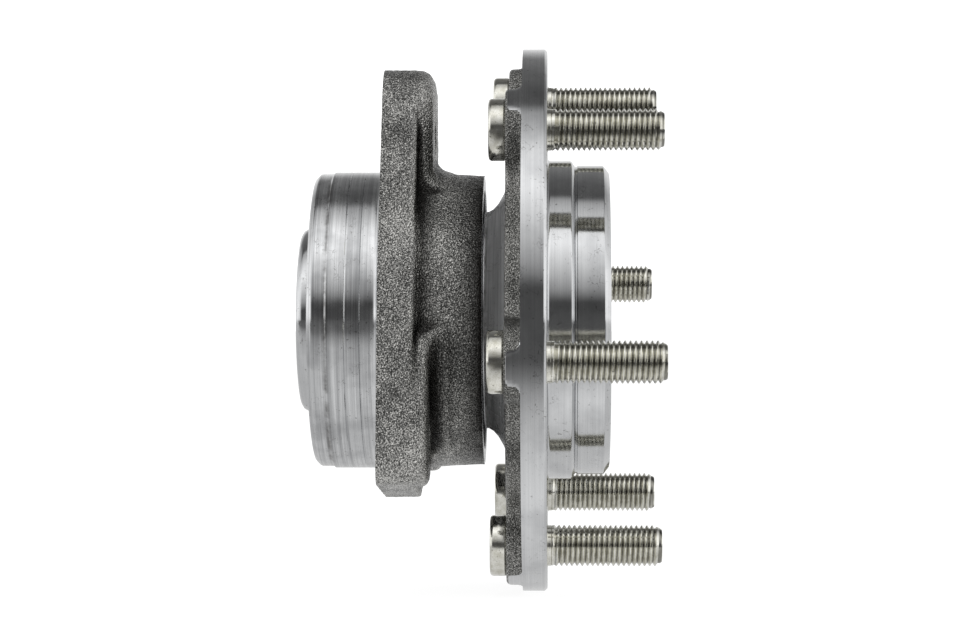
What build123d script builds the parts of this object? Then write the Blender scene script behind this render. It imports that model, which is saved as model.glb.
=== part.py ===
from build123d import *
from math import atan, cos, degrees, radians, sin, tan
import os

# Flanged wheel hub unit of the third generation: a fixed outer ring bolted to the steering
# knuckle, and a turning hub that carries the brake disc and the wheel on six pressed studs.
# Millimetres. The hub axis is Y and outboard is +Y. A station is a place along Y, measured
# from the hub's disc mounting face. Angles go from +X towards +Z.

# ---- hub: wheel flange ----
stud_circle = 139.7
stud_edge = 10.65
rim_thick = 7.2
pad_thick = 11.8
web_dia = 128.0
pad_dia = 22.0
pad_blend = 5.0
rim_blend = 1.2
rim_edge = 0.8
pad_edge = 0.6
stud_count = 6
stud_turn = -9.5

# ---- hub: disc pilot, wheel pilot and the recess for the axle nut ----
disc_pilot_dia = 94.8
disc_pilot_len = 7.1
pilot_step = 1.7
wheel_pilot_dia = 92.0
pilot_len = 18.3
nose_len = 1.8
nose_dia = 87.4
recess_dia = 77.0
recess_floor = -1.6
recess_blend = 5.0
nut_seat_dia = 50.0
nut_seat_rise = 1.2

# ---- hub: neck, seal land, spindle and formed end ----
neck_root = -17.5
neck_flare_dia = 81.0
neck_curve = 9.1
land_over_rib = 0.8
shoulder = -22.3
spindle_dia = 45.0
formed_dia = 54.4
formed_len = 3.7
formed_round = 2.8

# ---- hub: splined bore ----
spline_teeth = 28
spline_minor_dia = 30.4
spline_major_dia = 33.0
tooth_gap = 2.1
tooth_gap_root = 1.3
groove_overlap = 0.3
overrun = 1.0
entry_dia = 34.4
spline_start = -5.0
spline_end = -59.0
shaft_bore_dia = 37.0
mouth_chamfer = 1.0

# ---- wheel studs ----
stud_seat_dia = 12.6
stud_thread_dia = 11.9
stud_len = 33.2
stud_point_len = 2.0
stud_point_dia = 9.5
head_dia = 17.8
head_thick = 4.8
head_round = 1.1

# ---- roller rows ----
row_middle = -43.9
row_offset = 10.7
row_over_spindle = 19.6
roller_dia = 8.6
roller_len = 14.0
roller_tilt = 16.0
roller_count = 18
race_gap = 0.03
rib_gap = 0.05

# ---- inner rings ----
rib_under_pitch = 0.8
small_rib_under_pitch = 9.6
small_rib_len = 2.4
small_rib_gap = 0.4
cone_nose_step = 2.6
cone_back_in = -69.5
cone_edge = 0.8

# ---- cages ----
cage_wall = 1.4
cage_lift = 1.2
cage_ring = 1.6
pocket_gap = 0.2

# ---- outer ring ----
ring_end_out = -18.7
ring_end_in = -68.7
ring_dia_out = 86.0
ring_dia_flange = 88.0
ring_edge = 0.8
seal_bore_over_pitch = 13.2
middle_land_over_pitch = 3.4
pilot_dia = 88.2
lead_dia = 87.2
lead_start = -63.0
pilot_edge = 1.5

# ---- knuckle flange ----
knuckle_face = -48.2
plate_thick = 10.4
boss_thick = 14.8
top_edge = 74.0
top_half = 17.0
waist = (46.5, 10.0)
base_half = 54.2
base_edge = -45.9
base_apex = -53.1
top_corner = 17.0
waist_corner = 60.0
base_corner = 5.0
apex_corner = 30.0
bolt_radius = 54.5
top_bolt = 90.0
lower_bolt = 40.5
tap_dia = 10.4
boss_half_top = 22.5
boss_corner = 16.0
boss_shoulder = (40.0, 2.0)
boss_waist = (47.0, -6.0)
boss_waist_round = 8.0
boss_flush = -24.0
boss_toe = (43.0, -47.4)
boss_foot = (22.0, -40.0)
boss_toe_round = 6.0
plate_blend = 4.0
boss_blend = 5.0
boss_edge_round = 2.0
boss_top_round = 4.6
boss_top_zone = 40.0
blend_margin = 1.0

# ---- seals ----
case_wall = 0.8
case_depth_out = 4.6
case_depth_in = 4.7
seal_recess = 0.3
lip_gap = 0.05
seal_height = 8.0
lip_wall = 0.7
lip_flare = 0.9
lip_end_gap = 0.4
slinger_wall = 0.8
slinger_gap = 0.5
slinger_sleeve = 2.8
encoder_wall = 0.6
encoder_over_rib = 3.6

# ---- sizes that follow from others: the rows sit round the spindle, the seals round the rows ----
stud_r = stud_circle / 2
flange_r = stud_r + stud_edge
pitch_dia = spindle_dia + row_over_spindle
rib_dia = pitch_dia - rib_under_pitch
small_rib_dia = pitch_dia - small_rib_under_pitch
cone_nose_dia = small_rib_dia - cone_nose_step
land_dia = rib_dia + land_over_rib
seal_bore_dia = pitch_dia + seal_bore_over_pitch
middle_land_dia = pitch_dia + middle_land_over_pitch
lip_root_dia = seal_bore_dia - seal_height
encoder_bore_dia = rib_dia + encoder_over_rib


def station(u):
    """Plane square to the hub axis at station u. Its x, y are X, Z and it extrudes inboard."""
    return Plane.XZ.offset(-u)


def radial(angle):
    """Plane through the hub axis at an angle. Its x is the station and its y the radius."""
    a = radians(angle)
    return Plane(origin=(0, 0, 0), x_dir=(0, 1, 0), z_dir=(sin(a), 0, -cos(a)))


def turn(outline, mode=Mode.ADD):
    """Turns a closed outline of (station, radius) points about the hub axis."""
    with BuildSketch(radial(0)) as half:
        with BuildLine():
            Polyline(*outline, close=True)
        make_face()
    revolve(half.sketch, axis=Axis.Y, mode=mode)


def write(made, name):
    """Labels a finished piece and writes it to its own STEP file."""
    made.part.label = name
    export_step(made.part, f"parts/{name}.step")


os.makedirs("parts", exist_ok=True)


def corner(sketch, point):
    """The vertex of an open sketch that lies nearest to a point."""
    return sketch.vertices().sort_by_distance(Vector(*point))[0]


# ---- shared geometry of a roller row: side is 1 for the outboard row, -1 for the inboard ----
tilt = radians(roller_tilt)
pitch_r = pitch_dia / 2
half_len = roller_len / 2
apex = pitch_r / sin(tilt)


def roller_radius(along):
    """Radius of a tapered roller at a place along its own axis from its middle."""
    return roller_dia / 2 * (1 + along / apex)


def row_point(side, along, out):
    """(station, radius) of a point given along and square to the roller axis."""
    u = along * cos(tilt) - out * sin(tilt)
    return (
        row_middle + side * (row_offset + u),
        pitch_r + along * sin(tilt) + out * cos(tilt),
    )


def race_point(side, wall, along):
    """Point of a raceway: wall is 1 for the outer ring's and -1 for the inner ring's."""
    return row_point(side, along, wall * (roller_radius(along) + race_gap))


def race_at(side, wall, radius):
    """The point where a raceway, carried on past the rollers, reaches a radius."""
    start, end = race_point(side, wall, 0), race_point(side, wall, 1)
    share = (radius - start[1]) / (end[1] - start[1])
    return (start[0] + share * (end[0] - start[0]), radius)


def spin(side, angle, outline, mode=Mode.ADD):
    """Turns (along, out) points about the axis of the roller that lies at an angle."""
    plane = radial(angle)
    with BuildSketch(plane) as half:
        with BuildLine():
            Polyline(*[row_point(side, *point) for point in outline], close=True)
        make_face()
    centre = plane.from_local_coords((*row_point(side, 0, 0), 0))
    tip = plane.from_local_coords((*row_point(side, 1, 0), 0))
    revolve(half.sketch, axis=Axis(centre, tip - centre), mode=mode)


def roller_angles():
    """Angles of the rollers of a row, the first one at the top."""
    return [90 + 360 * k / roller_count for k in range(roller_count)]


def rollers(side, name):
    """A full row of separate tapered rollers."""
    with BuildPart() as made:
        for angle in roller_angles():
            spin(side, angle, [
                (-half_len, 0),
                (-half_len, roller_radius(-half_len)),
                (half_len, roller_radius(half_len)),
                (half_len, 0),
            ])
    write(made, name)


def cage(side, name):
    """Pressed conical window cage, with a pocket round each roller of its row."""
    low, high = cage_lift - cage_wall / 2, cage_lift + cage_wall / 2
    pocket = half_len + pocket_gap
    end = pocket + cage_ring
    with BuildPart() as made:
        turn([
            row_point(side, -end, low),
            row_point(side, end, low),
            row_point(side, end, high),
            row_point(side, -end, high),
        ])
        for angle in roller_angles():
            spin(side, angle, [
                (-pocket, 0),
                (-pocket, roller_radius(-pocket) + pocket_gap),
                (pocket, roller_radius(pocket) + pocket_gap),
                (pocket, 0),
            ], Mode.SUBTRACT)
    write(made, name)


def inner_ring(side, back, name):
    """Inner ring: big rib at its back, conical raceway, small rib, and a nose at the middle."""
    bore_r, rib_r, small_r = spindle_dia / 2, rib_dia / 2, small_rib_dia / 2
    rib_along = half_len + rib_gap
    rib_foot = race_point(side, -1, rib_along)
    rib_rise = (rib_r - rib_foot[1]) / cos(tilt)
    rib_top = (rib_foot[0] - side * rib_rise * sin(tilt), rib_r)
    small_foot = race_point(side, -1, -rib_along - small_rib_gap)
    small_start = small_foot[0] - side * (small_r - small_foot[1]) * tan(tilt)
    small_end = small_start - side * small_rib_len
    with BuildPart() as made:
        turn([
            (back - side * cone_edge, bore_r),
            (back, bore_r + cone_edge),
            (back, rib_r - cone_edge),
            (back - side * cone_edge, rib_r),
            rib_top,
            rib_foot,
            small_foot,
            (small_start, small_r),
            (small_end, small_r),
            (small_end, cone_nose_dia / 2),
            (row_middle, cone_nose_dia / 2),
            (row_middle, bore_r),
        ])
    write(made, name)


def hub():
    """Forged and turned hub: wheel flange, pilots, neck, spindle and splined bore."""
    flare_r, land_r, spindle_r = neck_flare_dia / 2, land_dia / 2, spindle_dia / 2
    pad_face = -pad_thick
    seat = recess_floor + nut_seat_rise
    end = cone_back_in - formed_len
    with BuildPart() as made:
        # web and pads as forged, over-size at the rim, then turned to the flange's diameter
        with BuildSketch(station(pad_face)) as pads:
            Circle(web_dia / 2)
            with PolarLocations(stud_r, stud_count, start_angle=stud_turn):
                Circle(pad_dia / 2)
            inner = [v for v in pads.vertices() if v.center().length < stud_r]
            fillet(inner, radius=pad_blend)
        extrude(amount=-pad_thick)
        with BuildSketch(station(0)):
            Circle(flange_r + pad_edge + rim_blend + rim_edge)
        extrude(amount=rim_thick)
        foot = made.edges().filter_by_position(Axis.Y, -rim_thick - 0.01, -rim_thick + 0.01)
        walls = [e for e in foot if max(v.center().length for v in e.vertices()) < flange_r + pad_edge]
        chamfer(walls, length=rim_blend)
        turn([
            (0, 0),
            (0, flange_r - rim_edge),
            (-rim_edge, flange_r),
            (pad_face + pad_edge, flange_r),
            (pad_face, flange_r - pad_edge),
            (pad_face, 0),
        ], Mode.INTERSECT)
        # pilots, neck, spindle and formed end
        with BuildSketch(radial(0)) as half:
            with BuildLine():
                neck = RadiusArc((neck_root, land_r), (pad_face, flare_r), -neck_curve)
                Polyline(
                    neck @ 1,
                    (-rim_thick, flare_r),
                    (-rim_thick, disc_pilot_dia / 2),
                    (disc_pilot_len, disc_pilot_dia / 2),
                    (disc_pilot_len + pilot_step, wheel_pilot_dia / 2),
                    (pilot_len - nose_len, wheel_pilot_dia / 2),
                    (pilot_len, nose_dia / 2),
                    (pilot_len, 0),
                    (end, 0),
                    (end, formed_dia / 2),
                    (cone_back_in, formed_dia / 2),
                    (cone_back_in, spindle_r),
                    (shoulder, spindle_r),
                    (shoulder, land_r),
                    neck @ 0,
                )
            make_face()
            fillet(corner(half, (end, formed_dia / 2)), radius=formed_round)
        revolve(axis=Axis.Y)
        # splined bore through the whole hub, then the wider hollows at both ends
        depth = (spline_major_dia - spline_minor_dia) / 2 + groove_overlap
        side_angle = degrees(atan(2 * depth / (tooth_gap - tooth_gap_root)))
        with BuildSketch(station(pilot_len + overrun)):
            Circle(spline_minor_dia / 2)
            with PolarLocations(spline_minor_dia / 2 - groove_overlap, spline_teeth):
                Trapezoid(
                    tooth_gap, depth, side_angle, rotation=-90, align=(Align.CENTER, Align.MIN)
                )
        extrude(amount=pilot_len - end + 2 * overrun, mode=Mode.SUBTRACT)
        with BuildSketch(radial(0)) as hollow:
            with BuildLine():
                Polyline(
                    (pilot_len, 0),
                    (pilot_len, recess_dia / 2),
                    (recess_floor, recess_dia / 2),
                    (recess_floor, nut_seat_dia / 2),
                    (seat, nut_seat_dia / 2),
                    (seat, entry_dia / 2),
                    (spline_start, entry_dia / 2),
                    (spline_start, 0),
                    close=True,
                )
            make_face()
            chamfer(corner(hollow, (recess_floor, recess_dia / 2)), length=recess_blend)
        revolve(axis=Axis.Y, mode=Mode.SUBTRACT)
        turn([
            (spline_end, 0),
            (spline_end, shaft_bore_dia / 2),
            (end + mouth_chamfer, shaft_bore_dia / 2),
            (end, shaft_bore_dia / 2 + mouth_chamfer),
            (end, 0),
        ], Mode.SUBTRACT)
        # stud holes
        with BuildSketch(station(0)):
            with PolarLocations(stud_r, stud_count, start_angle=stud_turn):
                Circle(stud_seat_dia / 2)
        extrude(amount=pad_thick, mode=Mode.SUBTRACT)
    write(made, "hub")


def wheel_studs():
    """Pressed wheel studs. Each seats with its head on a pad of the flange."""
    face, seat_r, thread_r = -pad_thick, stud_seat_dia / 2, stud_thread_dia / 2
    for number in range(stud_count):
        angle = radians(stud_turn + 360 * number / stud_count)
        centre = (stud_r * cos(angle), 0, stud_r * sin(angle))
        with BuildPart() as made:
            with BuildSketch(Plane(origin=centre, x_dir=(0, 1, 0), z_dir=(1, 0, 0))) as half:
                with BuildLine():
                    Polyline(
                        (face - head_thick, 0),
                        (face - head_thick, head_dia / 2),
                        (face, head_dia / 2),
                        (face, seat_r),
                        (0, seat_r),
                        (0, thread_r),
                        (stud_len - stud_point_len, thread_r),
                        (stud_len, stud_point_dia / 2),
                        (stud_len, 0),
                        close=True,
                    )
                make_face()
                chamfer(corner(half, (face - head_thick, head_dia / 2)), length=head_round)
            revolve(axis=Axis(centre, (0, 1, 0)))
        write(made, f"wheel_stud_{number + 1}")


def ear_plane(u):
    """Plane square to the hub axis whose x, y are X, Z. It extrudes inboard."""
    return Plane(origin=(0, u, 0), x_dir=(1, 0, 0), z_dir=(0, -1, 0))


def bolt_places():
    """Centres of the three knuckle bolts on the plane of the ears."""
    return [
        (bolt_radius * cos(radians(angle)), bolt_radius * sin(radians(angle)))
        for angle in (top_bolt, -lower_bolt, 180 + lower_bolt)
    ]


def ear_envelope(face, blend):
    """Turned envelope of the ears: flat outboard face, with a blend into the ring's body."""
    root = ring_dia_flange / 2
    reach = 2 * top_edge
    with BuildSketch(radial(0)) as half:
        with BuildLine():
            blend_arc = RadiusArc((face + blend, root), (face, root + blend), blend)
            Polyline(
                blend_arc @ 1,
                (face, reach),
                (knuckle_face, reach),
                (knuckle_face, 0),
                (face + blend, 0),
                blend_arc @ 0,
            )
        make_face()
    revolve(half.sketch, axis=Axis.Y, mode=Mode.INTERSECT)


def side_at(z):
    """Half-width of the plate at a height on its lower side."""
    return waist[0] + (base_half - waist[0]) * (waist[1] - z) / (waist[1] - base_edge)


def knuckle_plate():
    """Three-eared plate of the knuckle flange."""
    face = knuckle_face + plate_thick
    with BuildPart() as made:
        with BuildSketch(ear_plane(face + plate_blend)) as outline:
            with BuildLine():
                Polyline(
                    (-top_half, top_edge),
                    (top_half, top_edge),
                    waist,
                    (base_half, base_edge),
                    (0, base_apex),
                    (-base_half, base_edge),
                    (-waist[0], waist[1]),
                    close=True,
                )
            make_face()
            fillet(corner(outline, (0, base_apex)), radius=apex_corner)
            for x in (-1, 1):
                fillet(corner(outline, (x * top_half, top_edge)), radius=top_corner)
                fillet(corner(outline, (x * waist[0], waist[1])), radius=waist_corner)
                fillet(corner(outline, (x * base_half, base_edge)), radius=base_corner)
        extrude(amount=plate_thick + plate_blend)
        ear_envelope(face, plate_blend)
    return made.part


def ear_bosses():
    """Thicker bosses of the three ears, round the bolt holes, blended into the body."""
    face = knuckle_face + boss_thick
    with BuildPart() as made:
        with BuildSketch(ear_plane(face + boss_blend)) as outline:
            with BuildLine():
                Polyline(
                    (-boss_half_top, top_edge),
                    (boss_half_top, top_edge),
                    (boss_half_top, 0),
                    (-boss_half_top, 0),
                    close=True,
                )
            make_face()
            for x in (-1, 1):
                fillet(corner(outline, (x * boss_half_top, top_edge)), radius=boss_corner)
                with BuildLine():
                    Polyline(
                        (0, 0),
                        (x * boss_shoulder[0], boss_shoulder[1]),
                        (x * boss_waist[0], boss_waist[1]),
                        (x * side_at(boss_flush), boss_flush),
                        (x * base_half, base_edge),
                        (x * boss_toe[0], boss_toe[1]),
                        (x * boss_foot[0], boss_foot[1]),
                        close=True,
                    )
                make_face()
                fillet(corner(outline, (x * boss_waist[0], boss_waist[1])), radius=boss_waist_round)
                fillet(corner(outline, (x * base_half, base_edge)), radius=base_corner)
                fillet(corner(outline, (x * boss_toe[0], boss_toe[1])), radius=boss_toe_round)
        extrude(amount=boss_thick + boss_blend)
        ear_envelope(face, boss_blend)
        # outboard edges are rounded over, most of all on the top boss
        front = made.edges().filter_by_position(Axis.Y, face - 0.01, face + 0.01)
        past_blend = ring_dia_flange / 2 + boss_blend + blend_margin
        outer = [e for e in front if Vector(e.center().X, e.center().Z).length > past_blend]
        fillet([e for e in outer if e.center().Z > boss_top_zone], radius=boss_top_round)
        front = made.edges().filter_by_position(Axis.Y, face - 0.01, face + 0.01)
        outer = [e for e in front if Vector(e.center().X, e.center().Z).length > past_blend]
        fillet([e for e in outer if e.center().Z < 0], radius=boss_edge_round)
    return made.part


def outer_ring():
    """Forged outer ring with the knuckle flange, its pilot, both raceways and seal bores."""
    body_r, root_r = ring_dia_out / 2, ring_dia_flange / 2
    pilot_r, lead_r = pilot_dia / 2, lead_dia / 2
    seal_r, land_r = seal_bore_dia / 2, middle_land_dia / 2
    plate, bosses = knuckle_plate(), ear_bosses()
    with BuildPart() as made:
        turn([
            (ring_end_out, 0),
            (ring_end_out, body_r - ring_edge),
            (ring_end_out - ring_edge, body_r),
            (knuckle_face + plate_thick, root_r),
            (knuckle_face, root_r),
            (knuckle_face, pilot_r),
            (lead_start, pilot_r),
            (lead_start - (pilot_r - lead_r), lead_r),
            (ring_end_in + pilot_edge, lead_r),
            (ring_end_in, lead_r - pilot_edge),
            (ring_end_in, 0),
        ])
        add(plate)
        add(bosses)
        turn([
            (ring_end_out, 0),
            (ring_end_out, seal_r),
            race_at(1, 1, seal_r),
            race_at(1, 1, land_r),
            race_at(-1, 1, land_r),
            race_at(-1, 1, seal_r),
            (ring_end_in, seal_r),
            (ring_end_in, 0),
        ], Mode.SUBTRACT)
        # tapped bolt holes at the tap drill's size
        with BuildSketch(ear_plane(knuckle_face + boss_thick)):
            with Locations(*bolt_places()):
                Circle(tap_dia / 2)
        extrude(amount=boss_thick, mode=Mode.SUBTRACT)
    write(made, "outer_ring")


def seal(side, end, depth, reach, land_r, row):
    """Pressed seal case in the outer ring's bore, and the rubber lips on its inner edge."""
    seal_r, root_r = seal_bore_dia / 2, lip_root_dia / 2
    outer, inner = end - side * seal_recess, end - side * depth
    leg = inner + side * case_wall
    with BuildPart() as case:
        turn([
            (outer, seal_r),
            (outer, seal_r - case_wall),
            (leg, seal_r - case_wall),
            (leg, root_r),
            (inner, root_r),
            (inner, seal_r),
        ])
    write(case, f"{row}_seal_case")
    # a side lip flared outward, the main lip and the grease lip, all from one root
    touch_r = land_r + lip_gap
    waist_r = touch_r + lip_wall
    side_r = root_r + lip_flare
    with BuildPart() as lips:
        turn([
            (inner, root_r),
            (leg, root_r),
            (reach, side_r),
            (reach, side_r - lip_wall),
            (leg + side * 2 * lip_wall, waist_r + lip_wall),
            (leg + side * 3 * lip_wall, touch_r),
            (leg + side * 2 * lip_wall, touch_r),
            (leg + side * lip_wall, waist_r),
            (inner + side * lip_wall, waist_r),
            (inner, touch_r),
        ])
    write(lips, f"{row}_seal_lips")


def slinger_and_encoder():
    """Slinger pressed on the inboard inner ring, with the magnetic encoder ring on its face."""
    rib_r = rib_dia / 2
    sleeve_r = rib_r + slinger_wall
    flange = seal_bore_dia / 2 - case_wall - slinger_gap
    face = ring_end_in + seal_recess + encoder_wall
    back = face + slinger_wall
    with BuildPart() as slinger:
        turn([
            (face, rib_r),
            (face, flange),
            (back, flange),
            (back, sleeve_r),
            (back + slinger_sleeve, sleeve_r),
            (back + slinger_sleeve, rib_r),
        ])
    write(slinger, "inboard_slinger")
    with BuildPart() as encoder:
        turn([
            (face, encoder_bore_dia / 2),
            (face, flange),
            (face - encoder_wall, flange),
            (face - encoder_wall, encoder_bore_dia / 2),
        ])
    write(encoder, "encoder_ring")


hub()
wheel_studs()
outer_ring()
for side, back, row in ((1, shoulder, "outboard"), (-1, cone_back_in, "inboard")):
    inner_ring(side, back, f"{row}_inner_ring")
    rollers(side, f"{row}_rollers")
    cage(side, f"{row}_cage")
seal(1, ring_end_out, case_depth_out, ring_end_out - seal_recess, land_dia / 2, "outboard")
slinger_back = ring_end_in + seal_recess + encoder_wall + slinger_wall
seal(-1, ring_end_in, case_depth_in, slinger_back + lip_end_gap, rib_dia / 2 + slinger_wall, "inboard")
slinger_and_encoder()
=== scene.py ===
"""A flanged wheel hub bearing unit, dressed for rendering.

The hub, its studs and the outer ring are modelled here with the fillets, threads and
forged skin of the real pieces. The sealed inner pieces keep their solids and get finishes.
Sizes are in millimetres. A station is a place along the hub axis, +Y, and the wheel side
is outboard.
"""

import logging
import math
from collections.abc import Callable
from dataclasses import dataclass
from enum import Enum

import bmesh
import bpy
from mathutils import Matrix, Vector, noise


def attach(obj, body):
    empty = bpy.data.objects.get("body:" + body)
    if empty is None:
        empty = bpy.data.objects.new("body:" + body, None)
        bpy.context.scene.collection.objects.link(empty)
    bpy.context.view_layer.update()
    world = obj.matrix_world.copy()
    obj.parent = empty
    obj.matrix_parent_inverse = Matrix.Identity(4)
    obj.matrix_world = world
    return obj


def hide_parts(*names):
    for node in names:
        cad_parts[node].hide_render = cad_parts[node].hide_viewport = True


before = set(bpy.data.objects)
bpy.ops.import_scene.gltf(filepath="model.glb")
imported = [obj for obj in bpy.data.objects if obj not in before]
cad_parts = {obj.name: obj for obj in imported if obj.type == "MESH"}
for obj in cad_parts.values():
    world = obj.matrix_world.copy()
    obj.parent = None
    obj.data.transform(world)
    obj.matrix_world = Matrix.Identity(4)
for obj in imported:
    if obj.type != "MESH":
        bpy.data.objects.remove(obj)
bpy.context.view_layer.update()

log = logging.getLogger("hub_bearing")
logging.basicConfig(level=logging.INFO, format="%(levelname)s %(message)s")

MM = 0.001
OUTER_BODY = "outer_ring_body"
HUB_BODY = "hub_body"
# the attribute that says how deep a vertex lies, in a thread or in a hollow of the forging
DEEP = "groove"

ROUND_STEPS = 4
# distances in metres under which points are one point, and an edge is none
WELD = 1e-7
SOLID_WELD = 1e-6
THREAD_WELD = 4e-6
SLIVER = 2e-6

Window = tuple[float, float]
Stops = tuple[tuple[float, str], ...]
Corner = tuple[float, float, float]
Colour = tuple[float, float, float, float]
Tree = bpy.types.NodeTree
Node = bpy.types.Node
Socket = bpy.types.NodeSocket
Mesh = bmesh.types.BMesh
# what an input of a node takes: the output of another, a number, a vector or a colour
Value = Socket | float | tuple[float, ...]


# ---------------------------------------------------------------- colours and nodes


def linear(hex_colour: str) -> Colour:
    """Turns an sRGB hex colour into linear light.

    Args:
        hex_colour: Six hex digits, such as "B8BABC".

    Returns:
        Linear red, green and blue, and an alpha of 1.
    """
    channels = [int(hex_colour[i:i + 2], 16) / 255 for i in (0, 2, 4)]
    red, green, blue = (
        c / 12.92 if c <= 0.04045 else ((c + 0.055) / 1.055) ** 2.4 for c in channels)
    return (red, green, blue, 1.0)


def add(tree: Tree, kind: str, inputs: dict[str | int, Value] | None = None,
        **settings: object) -> Node:
    """Adds a node with its settings and links.

    Args:
        tree: The node tree to add it to.
        kind: The node's type name.
        inputs: Values or output sockets by input name or number.
        **settings: Properties set on the node itself.

    Returns:
        The new node.
    """
    made = tree.nodes.new(kind)
    for name, value in settings.items():
        setattr(made, name, value)
    for name, value in (inputs or {}).items():
        if isinstance(value, Socket):
            tree.links.new(value, made.inputs[name])
        else:
            made.inputs[name].default_value = value
    return made


def ramp(tree: Tree, factor: Socket, stops: Stops) -> Socket:
    """Turns a value into a colour through a row of stops.

    Args:
        tree: The node tree.
        factor: The value, from 0 to 1.
        stops: Place and sRGB hex colour of each stop, in order.

    Returns:
        The colour socket.
    """
    made = add(tree, "ShaderNodeValToRGB", {0: factor})
    elements = made.color_ramp.elements
    for number, (place, colour) in enumerate(stops):
        element = elements[number] if number < 2 else elements.new(place)
        element.position = place
        element.color = linear(colour)
    return made.outputs["Color"]


def spread(tree: Tree, value: Socket, low: float, high: float, to_low: float = 0.0,
           to_high: float = 1.0) -> Socket:
    """Maps a value from one range to another, clamped at both ends."""
    return add(tree, "ShaderNodeMapRange", {
        "Value": value, "From Min": low, "From Max": high, "To Min": to_low, "To Max": to_high,
    }).outputs["Result"]


def calc(tree: Tree, operation: str, *values: Value) -> Socket:
    """One step of arithmetic on values and sockets."""
    return add(tree, "ShaderNodeMath", dict(enumerate(values)), operation=operation).outputs[0]


def apart(tree: Tree, value: Socket, middle: float) -> Socket:
    """How far a value lies from a middle one, on either side."""
    return calc(tree, "ABSOLUTE", calc(tree, "SUBTRACT", value, middle))


def blend(tree: Tree, factor: Value, first: Value, second: Value) -> Socket:
    """Mixes two colours, given as sockets or as linear colours."""
    return add(tree, "ShaderNodeMix", {0: factor, 6: first, 7: second},
               data_type="RGBA").outputs[2]


def depth_of(tree: Tree) -> Socket:
    """Reads how deep the surface lies, which is 0 on a mesh that doesn't store it."""
    return add(tree, "ShaderNodeAttribute", attribute_name=DEEP).outputs["Fac"]


class Scale:
    """Coordinates of a piece in millimetres, plain and wrapped round the hub axis."""

    def __init__(self, tree: Tree) -> None:
        """Starts from Object coordinates, which every piece shares with the solids.

        Args:
            tree: The material's node tree.
        """
        self.tree = tree
        place = add(tree, "ShaderNodeTexCoord").outputs["Object"]
        self.mm = add(tree, "ShaderNodeVectorMath", {0: place, 1: (1 / MM,) * 3},
                      operation="MULTIPLY").outputs[0]
        x, self.station, z = add(tree, "ShaderNodeSeparateXYZ", {0: self.mm}).outputs
        flat = add(tree, "ShaderNodeCombineXYZ", {"X": x, "Z": z}).outputs[0]
        self.radius = add(tree, "ShaderNodeVectorMath", {0: flat},
                          operation="LENGTH").outputs["Value"]
        self.round = add(tree, "ShaderNodeVectorMath", {0: flat},
                         operation="NORMALIZE").outputs[0]

    def grain(self, size: float, detail: float = 2.0, rough: float = 0.5,
              shift: float = 0.0) -> Socket:
        """Noise with grains of a given size in millimetres."""
        return add(self.tree, "ShaderNodeTexNoise", {
            "Vector": self.moved(self.mm, shift), "Scale": 1 / size, "Detail": detail,
            "Roughness": rough,
        }).outputs["Fac"]

    def moved(self, vector: Socket, shift: float) -> Socket:
        """Moves coordinates, so that a second pattern differs from the first.

        Args:
            vector: The coordinates.
            shift: How far to move them. At 0 they stay as they are.

        Returns:
            The moved coordinates.
        """
        if not shift:
            return vector
        return add(self.tree, "ShaderNodeVectorMath", {
            0: vector, 1: (shift, shift * 2, shift * 3)}).outputs[0]

    def lay(self, width: float, length: float, shift: float = 0.0) -> Socket:
        """Noise drawn out round the hub axis, as a cutting tool leaves it.

        Args:
            width: Width of a mark in millimetres.
            length: Length of a mark, as a share of the radius.
            shift: Moves the pattern.

        Returns:
            The noise value.
        """
        turn = add(self.tree, "ShaderNodeVectorMath", {0: self.round, 1: (1 / length,) * 3},
                   operation="MULTIPLY").outputs[0]
        run = calc(self.tree, "ADD", self.station, self.radius)
        across = calc(self.tree, "DIVIDE", run, width)
        lift = add(self.tree, "ShaderNodeCombineXYZ", {"Y": across}).outputs[0]
        vector = add(self.tree, "ShaderNodeVectorMath", {0: turn, 1: lift}).outputs[0]
        return add(self.tree, "ShaderNodeTexNoise", {
            "Vector": self.moved(vector, shift), "Scale": 1.0, "Detail": 3.0, "Roughness": 0.6,
        }).outputs["Fac"]


# ---------------------------------------------------------------- finishes


def metal(name: str) -> tuple[bpy.types.Material, Tree, Node]:
    """Starts a material with one Principled shader, set to metal.

    Args:
        name: The material's name.

    Returns:
        The material, its node tree and its shader.
    """
    material = bpy.data.materials.new(name)
    material.use_nodes = True
    tree = material.node_tree
    shader = tree.nodes["Principled BSDF"]
    shader.inputs["Metallic"].default_value = 1.0
    return material, tree, shader


def raise_by(tree: Tree, shader: Node, height: Socket, depth: float) -> None:
    """Lets a pattern raise the surface by a depth in millimetres."""
    bump = add(tree, "ShaderNodeBump", {"Strength": 1.0, "Distance": depth * MM, "Height": height})
    tree.links.new(bump.outputs[0], shader.inputs["Normal"])


@dataclass(frozen=True)
class Surface:
    """A finish of a piece, as a material that is metal unless it says otherwise."""

    name: str

    def build(self) -> bpy.types.Material:
        """Makes the material.

        Returns:
            The new material.
        """
        material, tree, shader = metal(self.name)
        self.paint(tree, shader, Scale(tree))
        return material

    def paint(self, tree: Tree, shader: Node, scale: Scale) -> None:
        """Links the finish to a shader.

        Args:
            tree: The material's node tree.
            shader: The shader that shows the finish.
            scale: Coordinates in millimetres.
        """
        raise NotImplementedError


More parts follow.
